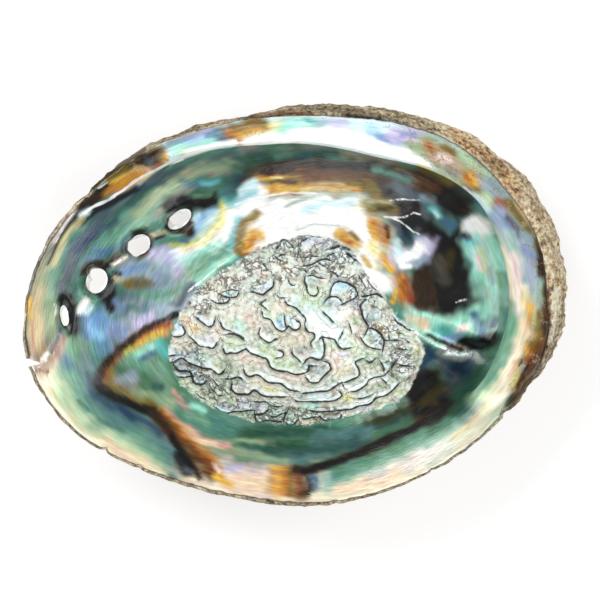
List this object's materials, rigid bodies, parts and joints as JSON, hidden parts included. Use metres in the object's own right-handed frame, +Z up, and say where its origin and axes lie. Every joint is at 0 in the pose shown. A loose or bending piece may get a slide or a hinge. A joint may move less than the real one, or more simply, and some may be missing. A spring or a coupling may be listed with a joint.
{
  "type": "abalone shell",
  "caption": "Oval ear-shaped sea shell on its back: a pearly bowl with a broad inner shelf, a raised muscle scar, a row of small holes and a low spiral spire.",
  "frame": {"origin": "on the surface that the shell rests on, under the middle of its outline", "axes": "+X along the length towards the coiled end, +Y across the width towards the side with the row of holes and the shelf, +Z up out of the hollow"},
  "size_m": [0.1504, 0.1118, 0.0353],
  "materials": {
    "nacre": "gloss"
  },
  "bodies": {
    "root": {"shell": "nacre"}
  },
  "joints": []
}
